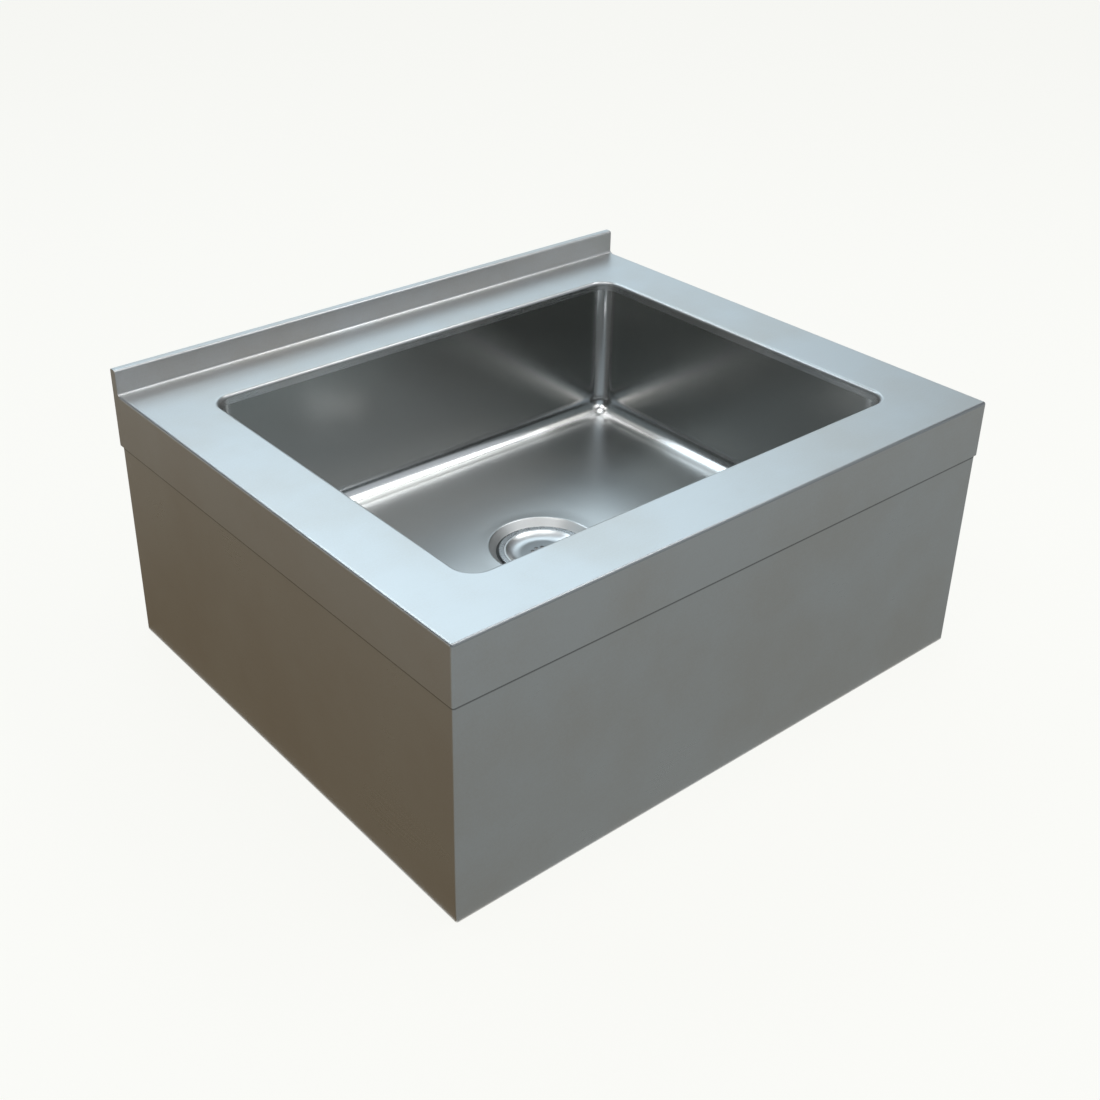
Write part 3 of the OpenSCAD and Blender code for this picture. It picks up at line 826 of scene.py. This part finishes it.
def geometryTree(name, kinds):  # a new tree with a geometry and these named inputs
    tree = bpy.data.node_groups.new(name, "GeometryNodeTree")
    for title, kind in {"Geometry": "Geometry", **kinds}.items():
        tree.interface.new_socket(title, in_out="INPUT", socket_type="NodeSocket" + kind)
    tree.interface.new_socket("Geometry", in_out="OUTPUT", socket_type="NodeSocketGeometry")
    return tree, tree.nodes.new("NodeGroupInput").outputs


def closeTree(tree, geometry, material):
    realized = added(tree, "GeometryNodeRealizeInstances", {"Geometry": geometry})
    painted = added(tree, "GeometryNodeSetMaterial", {"Geometry": realized, "Material": material})
    tree.links.new(painted, tree.nodes.new("NodeGroupOutput").inputs["Geometry"])
    return tree


def perforatedPlate():  # Geometry Nodes: rings of holes in a round plate, given its thickness
    tree, sockets = geometryTree("perforatedPlate", {
        "Plate Radius": "Float", "Plate Segments": "Int", "Hole Radius": "Float", "Hole Segments": "Int",
        "Ring Step": "Float", "Thickness": "Float", "Top": "Float"})

    def step(kind, inputs):
        return added(tree, "GeometryNode" + kind, inputs)

    def circle(name):
        radius, segments = sockets[name + " Radius"], sockets[name + " Segments"]
        return step("CurvePrimitiveCircle", {"Radius": radius, "Resolution": segments})
    plate = circle("Plate")
    # one circle of points for each ring, six more on each than on the one inside it,
    # and one point in the middle
    rings = []
    for ring in range(cupSizes["holeRings"] + 1):
        radius = mathNode(tree, "MULTIPLY", sockets["Ring Step"], ring)
        points = step("MeshCircle", {"Vertices": max(6 * ring, 3), "Radius": radius})
        rings.append(points if ring else step("MergeByDistance", {"Geometry": points}))
    centres = step("JoinGeometry", {"Geometry": rings})
    holes = step("InstanceOnPoints", {"Points": centres, "Instance": circle("Hole")})
    curves = step("JoinGeometry", {"Geometry": [plate, step("RealizeInstances", {"Geometry": holes})]})
    # the top face, and the same face turned over one thickness lower, with walls between them
    topPlace = added(tree, "ShaderNodeCombineXYZ", {"Z": sockets["Top"]})
    lifted = step("Transform", {"Geometry": step("FillCurve", {"Curve": curves}), "Translation": topPlace})
    down = mathNode(tree, "MULTIPLY", sockets["Thickness"], -1)
    upwards = added(tree, "ShaderNodeCombineXYZ", {"Z": 1})
    walls = step("ExtrudeMesh", {
        "Individual": False, "Mesh": lifted, "Offset": upwards, "Offset Scale": down})
    both = step("JoinGeometry", {"Geometry": [lifted, step("FlipFaces", {"Mesh": walls})]})
    return closeTree(tree, step("MergeByDistance", {"Distance": 1e-6, "Geometry": both}), cupMetal)


def applyTree(name, tree, values, points=None):
    holder = shown(name + "Holder", points or bpy.data.meshes.new(name + "Holder"))
    modifier = holder.modifiers.new(tree.name, "NODES")
    modifier.node_group = tree
    for item in tree.interface.items_tree:
        if item.item_type == "SOCKET" and item.in_out == "INPUT" and item.name in values:
            modifier[item.identifier] = values[item.name]
    graph = bpy.context.evaluated_depsgraph_get()
    evaluated = holder.evaluated_get(graph)
    mesh = bpy.data.meshes.new_from_object(evaluated, preserve_all_data_layers=True, depsgraph=graph)
    bpy.data.objects.remove(holder)
    mesh.name = name
    if "turn" in mesh.attributes:
        mesh.attributes.remove(mesh.attributes["turn"])
    return shown(name, mesh)


def makeCup():
    dish = makeCupDish()
    c = cupSizes
    plate = applyTree("cupPlate", perforatedPlate(), {
        "Plate Radius": c["plateRadius"], "Plate Segments": drainRound, "Hole Radius": c["holeRadius"],
        "Hole Segments": c["holeRound"], "Ring Step": c["holeStep"],
        "Thickness": c["thickness"], "Top": c["floor"]})
    plate.data.transform(Matrix.Translation((*drainMiddle, 0)))
    return dish, plate


# Fixings of the drain
print("drain fixings")
fixingSizes = {
    "seal": (42.2 * mm, 45.1 * mm, 100.5 * mm, 101.0 * mm, 0.1 * mm),  # bore, rim, low, high, edge
    "gasket": (42.2 * mm, 46.7 * mm, 96.0 * mm, 99.0 * mm, 0.5 * mm),
    "washer": (42.2 * mm, 47.2 * mm, 95.0 * mm, 96.0 * mm, 0.12 * mm),
    "nutBore": 41.55 * mm,
    "nutRing": 48.05 * mm,
    "nutLow": 86.0 * mm,
    "nutHigh": 95.0 * mm,
    "lugTip": 54.0 * mm,
    "lugWidth": 9 * mm,
    "lugs": 6,
    "rootRound": 1.2 * mm,
    "tipRound": 1.5 * mm,
    "nutEdge": 0.5 * mm,
    "ringSteps": 9,
    "longest": 2.5 * mm,  # of the outline's steps
}


def makeRing(name, size, material):
    shell = Shell()
    bore, rim, low, high, edge = size
    outline = roundedLoop([(bore, low, edge), (rim, low, edge), (rim, high, edge), (bore, high, edge)], 3)
    revolve(shell, outline)
    return shell.build(name, material)


def makeLocknut():
    shell = Shell()
    f = fixingSizes
    half = f["lugWidth"] / 2
    root = math.degrees(math.asin(half / f["nutRing"]))
    share = 360 / f["lugs"]
    corners = []
    rootEnd = (math.sqrt(f["nutRing"] ** 2 - half ** 2), f["rootRound"])
    tipEnd, steps = (f["lugTip"], f["tipRound"]), f["ringSteps"]
    ends = (rootEnd, -half), (tipEnd, -half), (tipEnd, half), (rootEnd, half)
    lug = [(x, y, radius) for (x, radius), y in ends]
    for i in range(f["lugs"]):
        turn = Matrix.Rotation(math.radians((i + 1) * share), 2)
        corners += [(*(turn @ Vector((x, y))), radius) for x, y, radius in lug]
        for k in range(1, steps):
            out = spoke((i + 1) * share + root + (share - 2 * root) * k / steps)
            corners.append((*(f["nutRing"] * out), f["nutRing"] * 0.9))
    outline = finer(roundedLoop(corners, 3), f["longest"])
    boredPlate(shell, outline, (0, 0), f["nutBore"], f["nutLow"], f["nutHigh"], f["nutEdge"])
    shell.move(Matrix.Translation((*drainMiddle, 0)))
    return shell.build("drainLocknut", brass)


# Studs and nuts that hold the channels: one of each, copied to every stud place
print("fasteners")
fastenerSizes = {
    "studRadius": 3 * mm,
    "studTop": 271 * mm,
    "studLow": 257 * mm,
    "studPitch": 1 * mm,
    "studThread": 0.3 * mm,
    "studChamfer": 0.6 * mm,
    "studRound": 32,
    "nutFlats": 10 * mm,
    "nutTop": 269.5 * mm,
    "nutLow": 264.5 * mm,
    "nutBore": 3.05 * mm,
    "nutLead": 0.35 * mm,
    "crownShare": 0.96,
    "crownSlope": 30,  # degrees
    "flatSteps": 10,
    "sideX": 285 * mm,
    "sideEnds": (-246.7 * mm, 237.2 * mm),  # front and back end of a side channel
    "crossLength": 526 * mm,
    "crossY": (-234.7 * mm, 225.7 * mm),
    "placeShare": 0.38,  # of a channel's length, from its middle
}


def makeStud():
    shell = Shell()
    f = fastenerSizes
    r, low, top, chamfer, count = picked(f, "studRadius", "studLow", "studTop", "studChamfer", "studRound")
    slope = Vector((1, -1)).normalized()
    columns = ringColumns((0, 0), evenAngles(count))
    sweep(shell, [(at(r - chamfer, low, slope), at(r, low + chamfer, slope))], columns, True)
    for z, reach, facing in ((low, r - chamfer, -1), (top, r, 1)):
        shell.face([(place((reach, z), c), (0, 0, facing)) for c in columns])
    thread(shell, (0, 0), r, f["studThread"], f["studPitch"], low + chamfer, top, count)
    return shell.build("studShape", fastenerSteel)


def makeNut():
    # six flats under a cone that rounds off their corners above and below
    shell = Shell()
    f = fastenerSizes
    bore, low, top, lead = picked(f, "nutBore", "nutLow", "nutTop", "nutLead")
    flat, tilt, steps = f["nutFlats"] / 2, f["crownSlope"], f["flatSteps"]
    crown, slope, cone = flat * f["crownShare"], math.tan(math.radians(tilt)), math.radians(90 - tilt)
    up = Vector((0, 0, 1))
    for side in range(6):
        middle = math.radians(60 * side + 30)

        def section(angle):
            # its lines and their normals: flat, bore, and above and below cone, face and chamfer
            arm, r = heading(angle).to_3d(), flat / math.cos(angle - middle)
            drop = (r - crown) * slope
            lines = [((r, low + drop), (r, top - drop), heading(middle).to_3d()),
                     ((bore, low + lead), (bore, top - lead), -arm)]
            for z, k in ((top, 1), (low, -1)):
                lines += [((r, z - k * drop), (crown, z), arm * math.cos(cone) + up * k * math.sin(cone)),
                          ((crown, z), (bore + lead, z), up * k),
                          ((bore + lead, z), (bore, z - k * lead), up * k - arm)]
            return [[(arm * reach + up * z, facing) for reach, z in ends] for *ends, facing in lines]
        sections = [section(middle + math.radians(-30 + 60 * i / steps)) for i in range(steps + 1)]
        for here, there in pairs(sections):
            for (a, b), (c, d) in zip(here, there):
                shell.face([a, c, d, b])
    return shell.build("nutShape", fastenerSteel)


def copiesTree():  # Geometry Nodes: one shape on every point, turned by the point's own angle
    tree, sockets = geometryTree("copiesOnPoints", {"Shape": "Object", "Paint": "Material"})
    shape = added(tree, "GeometryNodeObjectInfo", {"Object": sockets["Shape"]}, "Geometry")
    turn = added(tree, "GeometryNodeInputNamedAttribute", {"Name": "turn"}, data_type="FLOAT")
    angles = added(tree, "ShaderNodeCombineXYZ", {"Z": turn})
    places = {"Points": sockets["Geometry"], "Instance": shape, "Rotation": angles}
    return closeTree(tree, added(tree, "GeometryNodeInstanceOnPoints", places), sockets["Paint"])


def makeFasteners():
    f = fastenerSizes
    (front, back), share = f["sideEnds"], f["placeShare"]
    sideY = [(front + back) / 2 + end * share * (back - front) for end in (-1, 1)]
    spots = [(side * f["sideX"], y, math.radians(90)) for side in (-1, 1) for y in sideY]
    spots += [(side * share * f["crossLength"], y, 0.0) for side in (-1, 1) for y in f["crossY"]]
    tree = copiesTree()
    made = []
    for name, shape in (("channelStuds", makeStud()), ("channelNuts", makeNut())):
        points = bpy.data.meshes.new(name + "Places")
        points.from_pydata([(x, y, 0) for x, y, _ in spots], [], [])
        turns = points.attributes.new("turn", "FLOAT", "POINT")
        turns.data.foreach_set("value", [turn for _, _, turn in spots])
        made.append(applyTree(name, tree, {"Shape": shape, "Paint": fastenerSteel}, points))
        bpy.data.objects.remove(shape)
    return made


# Damping pads and anchor plates
print("pads and anchors")
padSizes = {
    "length": 240 * mm,
    "height": 84 * mm,
    "thickness": 3 * mm,
    "corner": 8 * mm,
    "middleZ": 197.25 * mm,
    "against": 254 * mm,
    "edge": 0.4 * mm,
    "steps": 8,
}
anchorSizes = {
    "length": 90 * mm,
    "nose": 16 * mm,
    "inner": 4 * mm,
    "hole": 5.5 * mm,
    "holeAt": 42 * mm,
    "thickness": 3 * mm,
    "cornerRound": 1.5 * mm,
    "noseRound": 3 * mm,
    "edge": 0.3 * mm,
    "longest": 3 * mm,
}


def makePad(side):
    shell = Shell()
    p = padSizes
    u, v = p["length"] / 2, p["height"] / 2
    outline = roundedLoop([(*end, p["corner"]) for end in ((-u, -v), (u, -v), (u, v), (-u, v))], p["steps"])
    low, high = sorted((side * p["against"], side * (p["against"] + p["thickness"])))
    middleY, middleZ = bowlSizes["middleY"], p["middleZ"]
    slab(shell, outline, low, high, lambda a, b, w: Vector((w, a + middleY, b + middleZ)), p["edge"])
    return shell.build("padLeft" if side < 0 else "padRight", padRubber)


def makeAnchor(side, end):
    shell = Shell()
    a = anchorSizes
    inner, length, nose, small = picked(a, "inner", "length", "nose", "cornerRound")
    corners = [(-inner, -inner, small), (-length, -inner, small), (-length, -inner - nose, a["noseRound"]),
               (-inner - nose, -length, a["noseRound"]), (-inner, -length, small)]
    outline = finer(roundedLoop(corners, 5), a["longest"])
    middle, top = (-a["holeAt"], -a["holeAt"]), sheet + a["thickness"]
    boredPlate(shell, outline, middle, a["hole"], sheet, top, a["edge"])
    toCorner = Matrix.Translation((side * width / 2, end * depth / 2, 0))
    shell.move(toCorner @ Matrix.Diagonal((side, end, 1, 1)))
    name = "anchor" + ("Front" if end < 0 else "Back") + ("Left" if side < 0 else "Right")
    return shell.build(name, rawSteel)


def settle(piece, body, slot, *nodes):
    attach(piece, body)
    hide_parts(*nodes)


settle(makeDeck(), "sink", "sheet_steel", "deck")
settle(makeRiserCap(-1), "sink", "sheet_steel", "riser_cap_left")
settle(makeRiserCap(1), "sink", "sheet_steel", "riser_cap_right")
settle(makeBowl(), "sink", "sheet_steel", "bowl")
skirtWidth, skirtDepth = width - 2 * sheet, depth - 2 * sheet
skirtWays = (skirtWidth / 2, skirtDepth, skirtSteelY), (skirtDepth / 2, skirtWidth, skirtSteelX)
for i, side in enumerate(("right", "back", "left", "front")):
    skirt = makeSkirt(side + "Skirt", 90 * i, *skirtWays[i % 2])
    settle(skirt, "sink", "sheet_steel", side + "_skirt")
settle(makeDrain(), "sink", "drain_metal", "drain_body")
dish, plate = makeCup()
settle(dish, "cup", "polished_cup", "crumb_cup")
settle(plate, "cup", "polished_cup", "crumb_cup")
settle(makeRing("flangeSeal", fixingSizes["seal"], sealRubber), "sink", "seal_rubber", "flange_seal")
settle(makeRing("drainGasket", fixingSizes["gasket"], sealRubber), "sink", "seal_rubber", "drain_gasket")
washer = makeRing("frictionWasher", fixingSizes["washer"], fibreBoard)
settle(washer, "sink", "fibre_board", "friction_washer")
settle(makeLocknut(), "sink", "locknut_brass", "drain_locknut")
studs, nuts = makeFasteners()
settle(studs, "sink", "fastener_steel", "channel_studs")
settle(nuts, "sink", "fastener_steel", "channel_nuts")
settle(makePad(-1), "sink", "damping_rubber", "pad_left")
settle(makePad(1), "sink", "damping_rubber", "pad_right")
settle(makeAnchor(-1, -1), "sink", "sheet_steel", "anchor_front_left")
settle(makeAnchor(1, -1), "sink", "sheet_steel", "anchor_front_right")
settle(makeAnchor(-1, 1), "sink", "sheet_steel", "anchor_back_left")
settle(makeAnchor(1, 1), "sink", "sheet_steel", "anchor_back_right")

for node in ("channel_front", "channel_back", "channel_left", "channel_right"):  # these keep their own mesh
    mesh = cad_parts[node].data
    mesh.materials.clear()
    mesh.materials.append(rawSteel)


# Studio
print("studio")
studio = {
    "floorSize": 30.0,
    "floorColour": (0.80, 0.80, 0.79),
    "floorRough": 0.9,
    "floorShine": 0.1,
    "floorGlow": (0.998, 1.0, 0.965),
    "glowShare": 0.9,
    "cardFade": 0.6,
    "cardHeight": 0.4 * mm,
    "lampTarget": 0.2,
}


def stagePlane(name, low, high, height, material):
    mesh = bpy.data.meshes.new(name)
    outline = (low, (high[0], low[1]), high, (low[0], high[1]))
    mesh.from_pydata([(x, y, height) for x, y in outline], [], [(0, 1, 2, 3)])
    mesh.materials.append(material)
    plane = shown(name, mesh)
    return plane


def makeFloor():
    half = studio["floorSize"] / 2
    material, tree, shader = nodeKit("studioFloor")
    for key, value in (("Base Color", (*studio["floorColour"], 1)), ("Roughness", studio["floorRough"]),
                       ("Specular IOR Level", studio["floorShine"])):
        shader.inputs[key].default_value = value
    glow = added(tree, "ShaderNodeEmission", {"Color": (*studio["floorGlow"], 1)})
    paths = tree.nodes.new("ShaderNodeLightPath").outputs
    seen = mathNode(tree, "MAXIMUM", paths["Is Camera Ray"], paths["Is Glossy Ray"])
    seen = mathNode(tree, "MAXIMUM", seen, paths["Is Transmission Ray"])
    share = mathNode(tree, "MULTIPLY", seen, studio["glowShare"])
    mixed = added(tree, "ShaderNodeMixShader", {"Fac": share, 1: shader.outputs["BSDF"], 2: glow})
    tree.links.new(mixed, tree.nodes["Material Output"].inputs["Surface"])
    stagePlane("studioFloor", (-half, -half), (half, half), 0, material)


def areaLight(name, spot, target, size, power, colour=(1, 1, 1)):
    data = bpy.data.lights.new(name, "AREA")
    data.shape = "RECTANGLE"
    data.size, data.size_y = size
    data.energy = power
    data.color = colour
    lamp = shown(name, data)
    lamp.location = spot
    lamp.rotation_euler = (Vector(target) - Vector(spot)).to_track_quat("-Z", "Y").to_euler()


def glowWorld():
    world = bpy.data.worlds.new("studioLight")
    bpy.context.scene.world = world
    world.use_nodes = True
    tree = world.node_tree
    way = added(tree, "ShaderNodeTexCoord", {}, "Generated")

    def vectorMath(operation, a, b, output=0):
        return added(tree, "ShaderNodeVectorMath", {0: a, 1: b}, output, operation=operation)

    def towards(azimuth, elevation):
        return vectorMath("DOT_PRODUCT", way, skyWay(azimuth, elevation), "Value")

    def coloured(share, colour, level):
        full = tuple(c * level for c in colour)
        return added(tree, "ShaderNodeVectorMath", {0: full, "Scale": share}, operation="SCALE")

    def soft(value, low, high):
        limits = {"Value": value, "From Min": low, "From Max": high}
        return added(tree, "ShaderNodeMapRange", limits, interpolation_type="SMOOTHSTEP")

    height = towards(0, 90)
    low, high = (math.sin(math.radians(a)) for a in worldBand["fade"])
    parts = [coloured(soft(height, high, low), worldBand["colour"], worldBand["level"])]
    for azimuth, elevation, wide, narrow, level, colour in worldLobes:
        outer, inner = (math.cos(math.radians(angle)) for angle in (wide, narrow))
        share = soft(towards(azimuth, elevation), outer, inner)
        parts.append(coloured(share, colour, level))
    total = tree.nodes.new("ShaderNodeRGB").outputs["Color"]
    total.default_value = (*worldBase, 1)
    for part in parts:
        total = vectorMath("ADD", total, part)
    tree.links.new(total, tree.nodes["Background"].inputs["Color"])


coolLight, plainLight = (0.83, 1.0, 1.10), (1.0, 1.0, 1.0)
worldBase = (0.035, 0.035, 0.035)
worldBand = {"fade": (5, 13), "colour": (0.93, 1, 1.05), "level": 0.5}  # pale horizon; its fade is in degrees
worldLobes = [  # azimuth from the wall side to the right, elevation, outer and inner angle, level, colour
    (38, 42, 24, 4, 1.22, coolLight),  # pale wall behind the sink, brightest at the right
    (40, 22, 36, 4, 0.50, coolLight),
    (141, 30, 30, 4, 0.52, (0.92, 1.0, 1.07)),  # room at the front right
    (219, 32, 30, 4, 0.38, coolLight),  # room behind the camera
    (0, 88, 40, 6, 0.15, plainLight),  # ceiling
]


def reflectionCard(name, low, high, near, far):  # a glowing card just over the floor that only the metal's reflections see: a painted reflection, darker next to the sink
    material, tree, _ = nodeKit(name)
    _, axes = placeOn(tree)
    beside, before = (mathNode(tree, "SUBTRACT", mathNode(tree, "ABSOLUTE", axes[axis]), half)
                      for axis, half in (("X", width / 2), ("Y", depth / 2)))
    away = ranged(tree, mathNode(tree, "MAXIMUM", beside, before), 0, studio["cardFade"], 0, 1)
    glow = added(tree, "ShaderNodeEmission", {"Color": mixColour(tree, away, near, far)})
    tree.links.new(glow, tree.nodes["Material Output"].inputs["Surface"])
    card = stagePlane(name, low, high, studio["cardHeight"], material)
    card.visible_camera = card.visible_diffuse = card.visible_shadow = card.visible_transmission = False


halfX, halfY = width / 2, depth / 2
paleCard = (0.285, 0.298, 0.289), (0.325, 0.35, 0.352)
reflectionCards = {  # painted reflections of the floor: low and high corner, colour next to the sink and colour away from it
    "cardLeft": ((-2.2, -halfY), (-halfX, 2.4), (0.178, 0.141, 0.094), (0.255, 0.226, 0.18)),
    "cardFront": ((-2.2, -2.6), (2.6, -halfY), *paleCard),
    "cardRight": ((halfX, -halfY), (2.6, 2.4), *paleCard),
    "cardBack": ((-halfX, halfY), (halfX, 2.4), *paleCard),
}
makeFloor()
glowWorld()
for name, card in reflectionCards.items():
    reflectionCard(name, *card)


def skyLamp(name, azimuth, elevation, away, size, radiance, colour):  # aimed at the bowl from a direction
    target = Vector((0, 0, studio["lampTarget"]))
    power = math.pi * size[0] * size[1] * radiance
    areaLight(name, skyWay(azimuth, elevation) * away + target, target, size, power, colour)


skyLamps = {  # azimuth and elevation in degrees, distance from the bowl, size, radiance, colour
    "backLampLeft": (-33, 50, 2.6, (1.25, 0.85), 2.7, (0.88, 1.0, 1.07)),
    "backLampMiddle": (5, 48, 2.6, (0.75, 0.65), 3.3, (0.86, 1.0, 1.1)),
}
downLamps = {  # place, point below it that it shines at, size, power, colour
    "ceilingLamp": ((0, 0, 2.4), (0, 0, 0), (0.8, 0.8), 5.0, (0.95, 1.0, 1.02)),
    "overLampLeft": ((-1.1, -0.38, 2.1), (-1.1, -0.38, 0), (0.76, 0.855), 8.0, plainLight),
    "overLampRight": ((1.1, -0.38, 2.1), (1.1, -0.38, 0), (0.76, 0.855), 10.0, (0.97, 1.0, 1.01)),
    "frontLamp": ((0, -1.5, 2.1), (0, -1.5, 0), (1.7, 1.1), 9.0, plainLight),
    "frontLampRight": ((0.95, -1.045, 2.1), (0.95, -1.045, 0), (0.67, 0.57), 3.0, plainLight),
}
for name, lamp in skyLamps.items():
    skyLamp(name, *lamp)
for name, lamp in downLamps.items():
    areaLight(name, *lamp)

view = {
    "place": (-0.82533, -0.94897, 0.87324),
    "turn": (60.8995, -0.0772, -38.8213),  # degrees
    "sensor": 36,  # mm, as the lens
    "lens": 47.912,
    "shift": (0.04735, -0.05633),
}
camera = shown("camera", bpy.data.cameras.new("camera"))
camera.location = view["place"]
camera.rotation_euler = [math.radians(a) for a in view["turn"]]
camera.data.sensor_fit = "HORIZONTAL"
camera.data.sensor_width, camera.data.lens = view["sensor"], view["lens"]
camera.data.shift_x, camera.data.shift_y = view["shift"]
bpy.context.scene.camera = camera
bpy.context.scene.view_settings.view_transform = "Standard"
